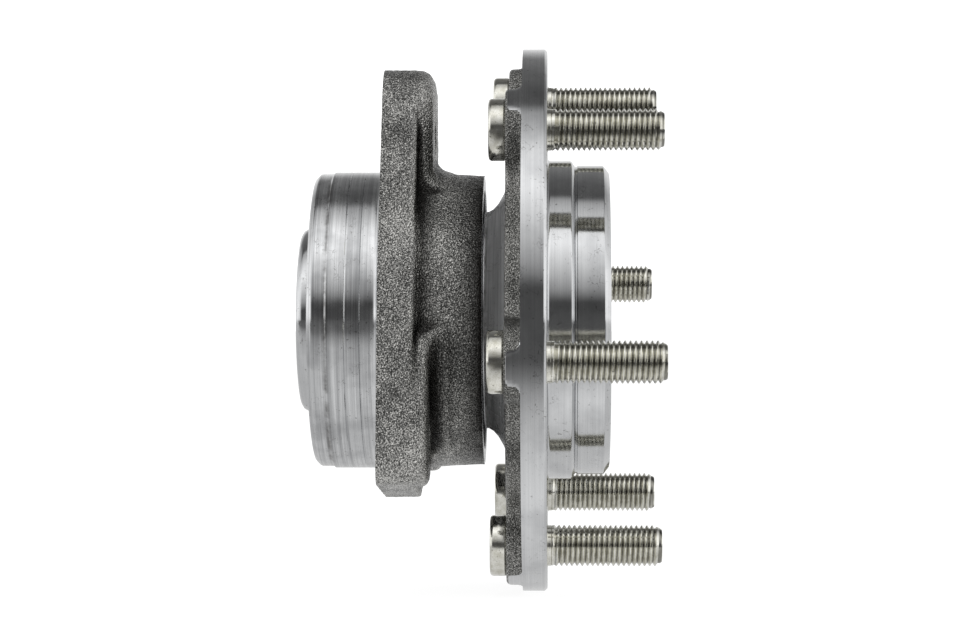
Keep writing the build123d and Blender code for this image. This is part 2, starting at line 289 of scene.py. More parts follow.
@dataclass(frozen=True)
class TurnedSteel(Surface):
    """Carbon steel off the lathe or the grinder: fine marks that run round the axis."""

    base: str = "D3D4D5"
    dark: str = "A6A7A9"
    # the colour of pits, scratches, grime and painted shade
    soil_and_shade: str = "4A4743"
    smooth: float = 0.16
    rough: float = 0.27
    mark_width: float = 0.35
    mark_length: float = 0.9
    depth: float = 0.01
    smudge: float = 9.0
    streaks: float = 1.0
    pit: float = 0.9
    pit_at: Window = (0.73, 0.77)
    pitted: float = 0.55
    scratch: float = 2.4
    scratch_at: Window = (0.004, 0.014)
    scratched: float = 0.5
    scratch_patch: float = 5.0
    # strength and place of a dark band of grime and painted shade
    grime_and_shade: float = 0.0
    band_at: float = 0.0
    band_edge: Window = (0.1, 1.1)
    band_patch: float = 7.0
    metallic: float = 1.0

    def paint(self, tree: Tree, shader: Node, scale: Scale) -> None:
        """Links the finish to a shader.

        Args:
            tree: The material's node tree.
            shader: The shader that shows the finish.
            scale: Coordinates in millimetres.
        """
        marks = scale.lay(self.mark_width, self.mark_length)
        wide = scale.lay(self.mark_width * 5, self.mark_length * 1.7, shift=4.0)
        smudges = scale.grain(self.smudge, 3.0, 0.55)
        both = calc(tree, "ADD", marks, wide)
        tone = calc(tree, "MULTIPLY", spread(tree, both, 0.75, 1.25, 1.0 - self.streaks, 1.0),
                    spread(tree, smudges, 0.32, 0.55, 0.6, 1.0))
        colour = ramp(tree, tone, ((0.0, self.dark), (1.0, self.base)))
        colour = blend(tree, self.soil_and_shade_share(tree, scale), colour, linear(self.soil_and_shade))
        tree.links.new(colour, shader.inputs["Base Color"])
        gloss = calc(tree, "MULTIPLY", spread(tree, smudges, 0.35, 0.65),
                     spread(tree, wide, 0.3, 0.7, 0.4, 1.0))
        tree.links.new(spread(tree, gloss, 0.0, 1.0, self.smooth, self.rough),
                       shader.inputs["Roughness"])
        raise_by(tree, shader, marks, self.depth)
        shader.inputs["Metallic"].default_value = self.metallic

    def soil_and_shade_share(self, tree: Tree, scale: Scale) -> Socket:
        """Where pits, hairline scratches and a band of grime and painted shade darken the steel.

        Args:
            tree: The material's node tree.
            scale: Coordinates in millimetres.

        Returns:
            The share of soil and painted shade, from 0 to 1.
        """
        pits = spread(tree, scale.grain(self.pit, 1.0, 0.5, shift=7.0), *self.pit_at,
                      0.0, self.pitted)
        hair = apart(tree, scale.grain(self.scratch, 2.0, 0.6, shift=13.0), 0.5)
        patch = scale.grain(self.scratch_patch, 2.0, 0.5, shift=17.0)
        scratches = calc(tree, "MULTIPLY",
                         spread(tree, hair, *self.scratch_at, self.scratched, 0.0),
                         spread(tree, patch, 0.56, 0.62))
        # a dark band round one station: grime where the pilot ends, and painted shade with grime
        # on the neck beside the ring end
        band = spread(tree, apart(tree, scale.station, self.band_at), *self.band_edge,
                      self.grime_and_shade, 0.0)
        patch = scale.grain(self.band_patch, 5.0, 0.65, shift=21.0)
        grime_and_shade = calc(tree, "MULTIPLY", band, spread(tree, patch, 0.4, 0.62))
        return calc(tree, "MAXIMUM", grime_and_shade, calc(tree, "MAXIMUM", pits, scratches))


@dataclass(frozen=True)
class ForgedSteel(Surface):
    """Hot-forged steel, shot-blasted: dark and dented, worn bright at its edges, with painted
    shade in its hollows.
    """

    dark: str = "3C3C3B"
    middle: str = "7E7E7C"
    bright: str = "E0DFDB"
    # the colour of the oil film, and of the painted shade in the hollows
    oil_and_hollow_shade: str = "1E1C1B"
    rough: float = 0.27
    grit: float = 0.4
    dimple: float = 0.55
    dimpled: float = 0.45
    patch: float = 14.0
    depth: float = 0.4
    # the depth at which the painted shade of a hollow starts and is full, and how dark it gets
    hollow_at: Window = (0.045, 0.3)
    hollow_dark: float = 0.85
    edge_at: Window = (-0.8, -0.25)
    worn: float = 0.35
    film: float = 0.0
    film_at: Window = (-27.0, -19.0)

    def paint(self, tree: Tree, shader: Node, scale: Scale) -> None:
        """Links the finish to a shader.

        Args:
            tree: The material's node tree.
            shader: The shader that shows the finish.
            scale: Coordinates in millimetres.
        """
        grit = scale.grain(self.grit, 1.5, 0.6)
        dimples = add(tree, "ShaderNodeTexVoronoi", {
            "Vector": scale.mm, "Scale": 1 / self.dimple}).outputs["Distance"]
        patches = scale.grain(self.patch, 3.0, 0.5, shift=9.0)
        tone = calc(tree, "ADD", spread(tree, grit, 0.32, 0.68),
                    spread(tree, patches, 0.3, 0.7, -0.2, 0.16))
        colour = ramp(tree, tone, ((0.0, self.dark), (0.5, self.middle), (0.85, self.bright)))
        oily = calc(tree, "MULTIPLY", spread(tree, scale.station, *self.film_at, 0.0, self.film),
                    spread(tree, patches, 0.3, 0.5, 0.5, 1.0))
        deep = depth_of(tree)
        # painted shade: hollows of the forging are painted darker the deeper they lie
        hollow_shade = spread(tree, deep, *self.hollow_at, 0.0, self.hollow_dark)
        colour = blend(tree, spread(tree, deep, *self.edge_at, self.worn, 0.0), colour,
                       linear(self.bright))
        colour = blend(tree, calc(tree, "MAXIMUM", oily, hollow_shade), colour, linear(self.oil_and_hollow_shade))
        tree.links.new(colour, shader.inputs["Base Color"])
        tree.links.new(spread(tree, grit, 0.3, 0.7, self.rough + 0.1, self.rough - 0.08),
                       shader.inputs["Roughness"])
        height = calc(tree, "ADD", grit, calc(tree, "MULTIPLY", dimples, self.dimpled))
        raise_by(tree, shader, height, self.depth)


@dataclass(frozen=True)
class TurnedRim(Surface):
    """A forging turned true past a radius, with a clean line between the two surfaces."""

    skin: ForgedSteel
    cut: TurnedSteel
    radius: float
    edge: float = 0.03

    def paint(self, tree: Tree, shader: Node, scale: Scale) -> None:
        """Links the finish to a shader.

        Args:
            tree: The material's node tree.
            shader: The shader that shows the finish.
            scale: Coordinates in millimetres.
        """
        self.skin.paint(tree, shader, scale)
        turned = add(tree, "ShaderNodeBsdfPrincipled")
        self.cut.paint(tree, turned, scale)
        past = spread(tree, scale.radius, self.radius - self.edge, self.radius + self.edge)
        both = add(tree, "ShaderNodeMixShader", {
            0: past, 1: shader.outputs[0], 2: turned.outputs[0]})
        tree.links.new(both.outputs[0], tree.nodes["Material Output"].inputs["Surface"])


@dataclass(frozen=True)
class ZincPlate(Surface):
    """Bright zinc plating with a thin passivated film, which turns it faintly yellow."""

    base: str = "E3E2DB"
    film: str = "C0BEB2"
    # the colour of stains, and of the grime and painted shade in the thread roots
    grime_and_shade: str = "3A382F"
    rough: float = 0.09
    cloud: float = 2.6
    grit: float = 0.35
    stain: float = 0.8
    root_at: Window = (0.8, 1.0)
    root_dark: float = 0.68
    depth: float = 0.01

    def paint(self, tree: Tree, shader: Node, scale: Scale) -> None:
        """Links the finish to a shader.

        Args:
            tree: The material's node tree.
            shader: The shader that shows the finish.
            scale: Coordinates in millimetres.
        """
        grit = scale.grain(self.grit, 2.0, 0.5, shift=5.0)
        film = calc(tree, "ADD", calc(tree, "MULTIPLY", scale.grain(self.cloud, 3.0, 0.55), 0.7),
                    calc(tree, "MULTIPLY", grit, 0.3))
        colour = ramp(tree, spread(tree, film, 0.34, 0.6), ((0.0, self.film), (1.0, self.base)))
        stain = spread(tree, scale.grain(self.stain, 2.0, 0.5, shift=11.0), 0.66, 0.74, 0.0, 0.6)
        # the thread roots are painted darker, as grime and painted shade
        root = spread(tree, depth_of(tree), *self.root_at, 0.0, self.root_dark)
        colour = blend(tree, calc(tree, "MAXIMUM", stain, root), colour, linear(self.grime_and_shade))
        tree.links.new(colour, shader.inputs["Base Color"])
        tree.links.new(spread(tree, film, 0.3, 0.65, self.rough + 0.1, self.rough),
                       shader.inputs["Roughness"])
        raise_by(tree, shader, grit, self.depth)


@dataclass(frozen=True)
class MouldedRubber(Surface):
    """Moulded nitrile rubber: near black, matt, with a faint bloom."""

    base: str = "1B1B1C"
    bloom: str = "2C2B2A"
    cloud: float = 3.0
    grit: float = 0.4
    depth: float = 0.03

    def paint(self, tree: Tree, shader: Node, scale: Scale) -> None:
        """Links the finish to a shader.

        Args:
            tree: The material's node tree.
            shader: The shader that shows the finish.
            scale: Coordinates in millimetres.
        """
        shader.inputs["Metallic"].default_value = 0.0
        cloud = scale.grain(self.cloud, 3.0, 0.5)
        colour = ramp(tree, spread(tree, cloud, 0.35, 0.65), ((0.0, self.base), (1.0, self.bloom)))
        tree.links.new(colour, shader.inputs["Base Color"])
        tree.links.new(spread(tree, cloud, 0.3, 0.7, 0.5, 0.66), shader.inputs["Roughness"])
        raise_by(tree, shader, scale.grain(self.grit, 1.0, 0.5), self.depth)


class Finish(Enum):
    """The finishes of the unit's pieces, each a description of one real surface."""

    # dents all over, with a dark film of oil toward the wheel and painted shade in the hollows
    FORGED = ForgedSteel("shot_blasted_forged_steel", film=1.0)
    # almost a mirror, with faint rings
    TURNED = TurnedSteel("turned_flange_steel", smooth=0.1, rough=0.15, streaks=0.45,
                         depth=0.0015)
    # the forged back of the flange up to its turned edge
    RIM = TurnedRim(
        "forged_steel_with_turned_rim",
        ForgedSteel("rim_skin", dark="3A3A39", middle="72726F", bright="BEBDBA", grit=0.34,
                    depth=0.3),
        TurnedSteel("rim_cut", smooth=0.1, rough=0.15, streaks=0.45, depth=0.0015),
        radius=80.42)
    # the same shine with finer rings
    GROUND = TurnedSteel("ground_steel", smooth=0.09, rough=0.15, mark_width=0.22, streaks=0.4,
                         depth=0.002)
    # strong rings of light and dark, with grime where the pilot ends
    DRAWN_MARKS = TurnedSteel("turned_pilot_steel", base="E8E9EA", dark="88898B", smooth=0.1,
                              rough=0.22, mark_width=0.4, mark_length=1.2, streaks=0.7,
                              depth=0.003, grime_and_shade=0.8, band_at=-63.3)
    # pale and nearly matt under a dry film, so it is only partly metal, with grime and painted
    # shade beside the ring end
    NECK = TurnedSteel("satin_neck_steel", base="F4F4F5", dark="B4B5B6", smooth=0.26, rough=0.38,
                       mark_width=0.5, depth=0.003, grime_and_shade=0.7, band_at=-18.3, metallic=0.3)
    # a clean shine, with rings almost too fine to see
    RACE = TurnedSteel("honed_bearing_steel", base="CDCED0", smooth=0.1, rough=0.2,
                       mark_width=0.15, depth=0.002)
    # dull grey that blurs what it mirrors
    CAGE = TurnedSteel("pressed_cage_steel", base="8E8F91", dark="77787A", smooth=0.34,
                       rough=0.5, mark_width=1.2)
    # a satin shine
    SEAL_STEEL = TurnedSteel("pressed_stainless_steel", base="BFC0C1", smooth=0.22, rough=0.34,
                             mark_width=0.6, depth=0.004)
    # silver with a faint yellow, and dark in the roots of the threads with grime and painted shade
    ZINC = ZincPlate("passivated_zinc_plate")
    # near black and matt, and the magnet ring is browner
    RUBBER = MouldedRubber("nitrile_rubber")
    MAGNET = MouldedRubber("magnet_filled_rubber", base="2A2522", bloom="37312D")

    def material(self) -> bpy.types.Material:
        """The finish's material, made the first time that it is asked for."""
        found = bpy.data.materials.get(self.value.name)
        return found or self.value.build()


# ---------------------------------------------------------------- mesh tools


def outline_wire(bm: Mesh, corners: list[Corner]) -> list:
    """Draws a closed outline in a plane through the hub axis and rounds its corners.

    Args:
        bm: The mesh to draw in.
        corners: Station, radius and corner round of each corner, all in millimetres.

    Returns:
        The outline's vertices and edges.
    """
    verts = [bm.verts.new((radius * MM, station * MM, 0)) for station, radius, _ in corners]
    for number, vert in enumerate(verts):
        bm.edges.new((vert, verts[(number + 1) % len(verts)]))
    rounds: dict[float, list] = {}
    for vert, corner in zip(verts, corners):
        if corner[2]:
            rounds.setdefault(corner[2], []).append(vert)
    for size, group in rounds.items():
        bmesh.ops.bevel(bm, geom=group, offset=size * MM, offset_type="OFFSET",
                        segments=ROUND_STEPS, profile=0.5, affect="VERTICES", material=-1)
    return bm.verts[:] + bm.edges[:]


def lathe(bm: Mesh, geometry: list, steps: int) -> None:
    """Turns an outline once round the hub axis and closes the seam."""
    bmesh.ops.spin(bm, geom=geometry, cent=(0, 0, 0), axis=(0, 1, 0), dvec=(0, 0, 0),
                   angle=math.tau, steps=steps, use_merge=True, use_normal_flip=False,
                   use_duplicate=False)
    bmesh.ops.remove_doubles(bm, verts=bm.verts, dist=WELD)


def polar(point: Vector) -> tuple[float, float, float]:
    """Station, radius and angle of a point, in millimetres and radians."""
    return point.y / MM, math.hypot(point.x, point.z) / MM, math.atan2(point.z, point.x)


def at_polar(station: float, radius: float, angle: float) -> Vector:
    """The point at a station, radius and angle, from millimetres and radians."""
    return Vector((radius * math.cos(angle), station, radius * math.sin(angle))) * MM


def press(bm: Mesh, form: Callable[[float, float, float], tuple[float, float, float]]) -> None:
    """Moves every vertex by a rule on its station, radius and angle."""
    for vert in bm.verts:
        vert.co = at_polar(*form(*polar(vert.co)))


def relax(bm: Mesh, times: int) -> None:
    """Eases every vertex half way toward its neighbours, a number of times."""
    for _ in range(times):
        bmesh.ops.smooth_vert(bm, verts=bm.verts, factor=0.5, use_axis_x=True,
                              use_axis_y=True, use_axis_z=True)


def face_off(bm: Mesh, station: float, side: int) -> None:
    """Cuts off what lies past a station and closes the cut, with its holes left open.

    Args:
        bm: The mesh.
        station: Where to cut, in millimetres.
        side: 1 cuts off the wheel side, and -1 the other.
    """
    bmesh.ops.bisect_plane(bm, geom=bm.verts[:] + bm.edges[:] + bm.faces[:],
                           plane_co=(0, station * MM, 0), plane_no=(0, side, 0),
                           clear_outer=True)
    rim = [edge for edge in bm.edges if edge.is_boundary]
    bmesh.ops.triangle_fill(bm, edges=rim, use_beauty=True, use_dissolve=False)


def make_piece(name: str, bm: Mesh, finishes: list[Finish], body: str,
               replaces: tuple[str, ...] = (), sharp_deg: float = 32.0,
               choose: Callable[[float, float, Vector], int] | None = None) -> bpy.types.Object:
    """Turns a finished mesh into a piece that rides on a body.

    Args:
        name: The piece's name.
        bm: Its mesh, which is freed.
        finishes: The finishes it shows.
        body: The CAD body that it moves with.
        replaces: The CAD nodes that it stands for.
        sharp_deg: Edges over this angle stay sharp.
        choose: Gives a face's finish number from its station, radius and normal.

    Returns:
        The piece.
    """
    bmesh.ops.recalc_face_normals(bm, faces=bm.faces)
    bm.normal_update()
    if choose:
        for face in bm.faces:
            station, radius, _ = polar(face.calc_center_median())
            face.material_index = choose(station, radius, face.normal)
    mesh = bpy.data.meshes.new(name)
    bm.to_mesh(mesh)
    bm.free()
    mesh.shade_smooth()
    mesh.set_sharp_from_angle(angle=math.radians(sharp_deg))
    for finish in finishes:
        mesh.materials.append(finish.material())
    piece = bpy.data.objects.new(name, mesh)
    bpy.context.scene.collection.objects.link(piece)
    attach(piece, body)
    if replaces:
        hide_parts(*replaces)
    log.info("%s: %d faces on %s", name, len(mesh.polygons), body)
    return piece


# ---------------------------------------------------------------- hub


@dataclass(frozen=True)
class Hub:
    """The turning hub: wheel flange, pilots, neck, spindle and splined bore."""

    flange_r: float = 80.5
    rim_back: float = -7.2
    pad_face: float = -11.8
    web_r: float = 64.0
    stud_circle_r: float = 69.85
    stud_turn_deg: float = -9.5
    stud_count: int = 6
    pad_r: float = 11.6
    pad_blend: float = 5.0
    half_steps: int = 46
    tip_chamfer: float = 0.6
    wall_mark: float = 200.0
    # steps along and out where the wall meets the rim's back and where it meets the pads' face
    rim_fillet: tuple[Window, ...] = ((0, 1.5), (-0.3, 0.75), (-0.9, 0.25), (-1.7, 0))
    pad_round: tuple[Window, ...] = ((1.2, -0.1), (0.7, -0.25), (0.25, -0.6), (0, -1.2))
    rim_chamfer: float = 0.8
    disc_pilot_r: float = 47.4
    disc_pilot_end: float = 7.1
    wheel_pilot_r: float = 46.0
    relief: float = 0.35
    pilot_end: float = 18.3
    nose_r: float = 43.7
    recess_r: float = 38.5
    recess_wall: float = 3.4
    recess_slope: float = 5.0
    recess_round: float = 2.2
    nut_face: float = -0.4
    nut_seat_r: float = 25.0
    recess_floor: float = -1.6
    neck: tuple[Window, ...] = ((-13.1, 37.4), (-14.6, 34.8), (-16.1, 33.1))
    neck_top_r: float = 40.5
    neck_end: float = -17.5
    seal_land: float = -18.3
    seal_land_r: float = 32.3
    shoulder: float = -22.3
    spindle_r: float = 22.5
    back: float = -69.5
    end: float = -73.2
    formed_r: float = 27.2
    formed_round: tuple[Window, ...] = ((1.9, 0), (0.8, -0.6), (0.15, -1.7), (0, -2.8))
    shaft_bore_r: float = 18.5
    spline_end: float = -59.0
    spline_start: float = -5.0
    liner_r: float = 17.5
    entry_r: float = 17.2
    teeth: int = 28
    tooth_steps: int = 12
    gap_half: float = 0.2
    flank: float = 0.09
    tooth_root_r: float = 16.5
    tooth_tip_r: float = 15.2
    # how far past a border the middle of a face may lie
    slack: float = 0.05

    def pad_outline(self, run: float) -> tuple[float, float]:
        """A point of the forged outline of the web and its six pads.

        Args:
            run: Share of the outline's length, from the middle of a pad (0) to half way
                between two pads (1).

        Returns:
            Angle from the pad's middle in radians, and radius.
        """
        # where the blend's centre lies, from the axis and from the pad's middle
        from_axis, from_pad = self.web_r + self.pad_blend, self.pad_r + self.pad_blend
        seat = self.stud_circle_r
        turn = math.acos(
            (from_axis ** 2 + seat ** 2 - from_pad ** 2) / (2 * from_axis * seat))
        centre = Vector((from_axis * math.cos(turn), from_axis * math.sin(turn)))
        toward_pad = Vector((seat, 0)) - centre
        pad_arc = math.pi - math.atan2(centre.y, seat - centre.x)
        start = math.atan2(toward_pad.y, toward_pad.x)
        blend_arc = (math.atan2(-centre.y, -centre.x) - start) % math.tau
        blend_arc = min(blend_arc, math.tau - blend_arc)
        lengths = (
            self.pad_r * pad_arc,
            self.pad_blend * blend_arc,
            self.web_r * (math.pi / self.stud_count - turn),
        )
        place = run * sum(lengths)
        if place < lengths[0]:
            along = place / self.pad_r
            point = Vector((seat + self.pad_r * math.cos(along), self.pad_r * math.sin(along)))
        elif place < lengths[0] + lengths[1]:
            along = start - (place - lengths[0]) / self.pad_blend
            point = centre + self.pad_blend * Vector((math.cos(along), math.sin(along)))
        else:
            along = turn + (place - lengths[0] - lengths[1]) / self.web_r
            point = self.web_r * Vector((math.cos(along), math.sin(along)))
        return math.atan2(point.y, point.x), point.length

    def forge(self, station: float, radius: float, angle: float) -> tuple[float, float, float]:
        """Moves a turned vertex onto the forged outline.

        Args:
            station: The vertex's station.
            radius: Its radius; past the wall mark it is a distance from the outline.
            angle: Its angle, on an even division of the circle.

        Returns:
            The new station, radius and angle.
        """
        steps = 2 * self.half_steps
        number = round(angle / math.tau * steps * self.stud_count)
        pad, place = divmod(number + self.half_steps, steps)
        place -= self.half_steps
        swing, outline = self.pad_outline(abs(place) / self.half_steps)
        turned = math.radians(self.stud_turn_deg) + pad * math.tau / self.stud_count
        turned += math.copysign(swing, place)
        if radius > self.wall_mark / 2:
            limit = self.flange_r - max(0.0, self.pad_face + self.tip_chamfer - station)
            radius = min(limit, outline + radius - self.wall_mark)
        return station, min(radius, self.flange_r), turned

    def build_body(self) -> None:
        """Turns the hub and presses its pads."""
        wall = self.wall_mark
        bm = bmesh.new()
        corners: list[Corner] = [
            (self.pilot_end, self.recess_r, 0.5),
            (self.pilot_end, self.nose_r, 0.3),
            (self.pilot_end - 1.8, self.wheel_pilot_r, 0.2),
            (self.disc_pilot_end + 1.7, self.wheel_pilot_r, 0),
            (self.disc_pilot_end + 1.5, self.wheel_pilot_r - self.relief, 0.15),
            (self.disc_pilot_end + 1.1, self.wheel_pilot_r - self.relief, 0.15),
            (self.disc_pilot_end, self.disc_pilot_r - 0.1, 0.15),
            (self.disc_pilot_end - 0.4, self.disc_pilot_r, 0),
            (0, self.disc_pilot_r, 0.9),
            (0, self.flange_r - self.rim_chamfer, 0.15),
            (-self.rim_chamfer, self.flange_r, 0.15),
            (self.rim_back, self.flange_r, 0.15),
            *((self.rim_back + along, wall + out, 0) for along, out in self.rim_fillet),
            *((self.pad_face + along, wall + out, 0) for along, out in self.pad_round),
            (self.pad_face, self.neck_top_r, 0),
            *((station, radius, 0) for station, radius in self.neck),
            (self.neck_end, self.seal_land_r, 0),
            (self.seal_land, self.seal_land_r, 0),
            (self.shoulder, self.seal_land_r, 0.4),
            (self.shoulder, self.spindle_r, 0),
            (self.back, self.spindle_r, 0),
            (self.back, self.formed_r, 0.2),
            *((self.end + along, self.formed_r + out, 0) for along, out in self.formed_round),
            (self.end + 0.1, self.shaft_bore_r + 2.2, 0.8),
            (self.end + 1.4, self.shaft_bore_r, 0.3),
            (self.spline_end, self.shaft_bore_r, 0),
            (self.spline_end, self.liner_r, 0),
            (self.spline_start, self.liner_r, 0),
            (self.spline_start, self.entry_r, 0),
            (self.nut_face, self.entry_r, 0.5),
            (self.nut_face, self.nut_seat_r, 0.3),
            (self.recess_floor, self.nut_seat_r, 0.3),
            (self.recess_floor, self.recess_r - self.recess_slope, self.recess_round),
            (self.recess_wall, self.recess_r, self.recess_round),
        ]
        lathe(bm, outline_wire(bm, corners), 2 * self.half_steps * self.stud_count)
        press(bm, self.forge)
        bmesh.ops.dissolve_degenerate(bm, dist=SLIVER, edges=bm.edges)
        finishes = [Finish.TURNED, Finish.RIM, Finish.NECK, Finish.GROUND]
        make_piece("hub_body", bm, finishes, HUB_BODY, ("hub",),
                   choose=self.finish_of)

    def finish_of(self, station: float, radius: float, normal: Vector) -> int:
        """Chooses the finish of a face of the hub.

        Args:
            station: Station of the face's middle.
            radius: Its radius.
            normal: Its normal, which makes no difference here.

        Returns:
            The finish's number in build_body's list.
        """
        turned, rim, neck, ground = range(4)
        if station > -self.slack:
            on_pilots = self.wheel_pilot_r - 1.5 < radius < self.disc_pilot_r + 0.3
            return ground if on_pilots else turned
        if station > self.rim_back:
            return turned
        if station > self.pad_face - self.slack and radius > self.neck_top_r - 0.5:
            return rim
        if (self.seal_land < station <= self.pad_face + self.slack
                and radius > self.seal_land_r - 0.1):
            return neck
        return ground

    def build_splines(self) -> None:
        """Broached spline teeth, as a liner of the hub's bore."""
        bm = bmesh.new()
        corners: list[Corner] = [
            (self.spline_start, self.liner_r, 0),
            (self.spline_start, self.tooth_tip_r, 0),
            (self.spline_end, self.tooth_tip_r, 0),
            (self.spline_end, self.liner_r, 0),
        ]
        lathe(bm, outline_wire(bm, corners), self.tooth_steps * self.teeth)
        press(bm, self.broach)
        make_piece("hub_splines", bm, [Finish.TURNED], HUB_BODY,
                   sharp_deg=25)

    def broach(self, station: float, radius: float, angle: float) -> tuple[float, float, float]:
        """Moves a vertex of the liner so that gaps open between the teeth.

        Args:
            station: The vertex's station.
            radius: Its radius.
            angle: Its angle.

        Returns:
            The station, the new radius and the angle.
        """
        rise = self.tooth_root_r - self.tooth_tip_r
        phase = abs((angle / math.tau * self.teeth) % 1 - 0.5)
        if radius < self.liner_r - 0.5:
            radius += rise * min(1.0, max(0.0, (phase - self.gap_half) / self.flank))
        return station, radius, angle


# ---------------------------------------------------------------- wheel studs


@dataclass(frozen=True)
class WheelStud:
    """A pressed wheel stud with a rolled metric thread."""

    number: int
    hub: Hub
    pitch: float = 1.5
    crest_r: float = 5.93
    root_r: float = 5.05
    shank_r: float = 5.9
    collar_end: float = 1.1
    thread_start: float = 1.3
    length: float = 33.2
    point_len: float = 2.0
    point_r: float = 4.7
    head_face: float = -11.8
    head_thick: float = 4.8
    head_r: float = 8.85
    seat_r: float = 6.3
    seat_end: float = -0.3
    collar: float = 0.15
    steps: int = 56
    head_steps: int = 64
    turned_by: float = 1.1
    # share of the pitch and radius of each corner of the thread's profile
    profile: tuple[tuple[float, str], ...] = (
        (0.0, "crest"), (0.18, "crest"), (0.55, "root"), (0.63, "root"))

    def centre(self) -> Vector:
        """The stud's axis where it crosses the disc face.

        Returns:
            The point, in metres.
        """
        step = math.tau / self.hub.stud_count
        angle = math.radians(self.hub.stud_turn_deg) + (self.number - 1) * step
        return at_polar(0, self.hub.stud_circle_r, angle)

    def thread(self, bm: Mesh) -> None:
        """Rolls the thread: one pitch after another along a helix, closed at both ends.

        Args:
            bm: The mesh to make it in.
        """
        turns = math.ceil((self.length - self.thread_start) / self.pitch) + 3
        radii = {"crest": self.crest_r, "root": self.root_r}
        points = [
            ((turn + share) * self.pitch + self.thread_start - 2 * self.pitch, radii[place])
            for turn in range(turns) for share, place in self.profile
        ]
        verts = [bm.verts.new((radius * MM, station * MM, 0)) for station, radius in points]
        edges = [bm.edges.new(pair) for pair in zip(verts, verts[1:])]
        # the turn ends one pitch along, so it is welded below and not merged by the spin
        bmesh.ops.spin(bm, geom=verts + edges, cent=(0, 0, 0), axis=(0, 1, 0),
                       dvec=(0, self.pitch * MM / self.steps, 0), angle=-math.tau,
                       steps=self.steps, use_merge=False, use_normal_flip=False,
                       use_duplicate=False)
        bmesh.ops.remove_doubles(bm, verts=bm.verts, dist=THREAD_WELD)
        fade = 1.2 * self.pitch
        for vert in bm.verts:
            station, radius, angle = polar(vert.co)
            station = min(max(station, self.thread_start), self.length)
            to_tip = (self.length - station) / self.point_len
            cone = self.point_r + to_tip * (self.crest_r - self.point_r)
            start = min(1.0, (station - self.thread_start) / fade)
            radius = min(self.shank_r + (radius - self.shank_r) * start, cone)
            vert.co = at_polar(station, radius, angle)
        bmesh.ops.remove_doubles(bm, verts=bm.verts, dist=THREAD_WELD)
        bmesh.ops.dissolve_degenerate(bm, dist=SLIVER, edges=bm.edges)
        open_edges = [edge for edge in bm.edges if edge.is_boundary]
        bmesh.ops.holes_fill(bm, edges=open_edges, sides=0)

    def build(self) -> None:
        """Makes the stud and moves it to its hole."""
        bm = bmesh.new()
        back = self.head_face - self.head_thick
        corners: list[Corner] = [
            (back, 0, 0),
            (back, self.head_r, 1.1),
            (self.head_face, self.head_r, 0.6),
            (self.head_face, self.seat_r, 0),
            (self.seat_end, self.seat_r, 0),
            (self.collar, self.seat_r - self.collar, 0),
            (self.collar, self.shank_r, 0.1),
            (self.collar_end, self.shank_r, 0.1),
            (self.collar_end + 0.4, self.shank_r - 0.5, 0),
            (self.collar_end + 0.4, 0, 0),
        ]
        lathe(bm, outline_wire(bm, corners), self.head_steps)
        shank = bmesh.new()
        self.thread(shank)
        loose = bpy.data.meshes.new("thread")
        shank.to_mesh(loose)
        shank.free()
        bm.from_mesh(loose)
        bpy.data.meshes.remove(loose)
        deep = bm.verts.layers.float.new(DEEP)
        for vert in bm.verts:
            station, radius, _ = polar(vert.co)
            if self.thread_start < station < self.length:
                vert[deep] = (self.crest_r - radius) / (self.crest_r - self.root_r)
        turn = Matrix.Rotation(self.number * self.turned_by, 4, "Y")
        bmesh.ops.transform(bm, matrix=Matrix.Translation(self.centre()) @ turn,
                            verts=bm.verts)
        make_piece(f"stud_{self.number}", bm, [Finish.ZINC], HUB_BODY,
                   (f"wheel_stud_{self.number}",), sharp_deg=28)


# ---------------------------------------------------------------- outer ring


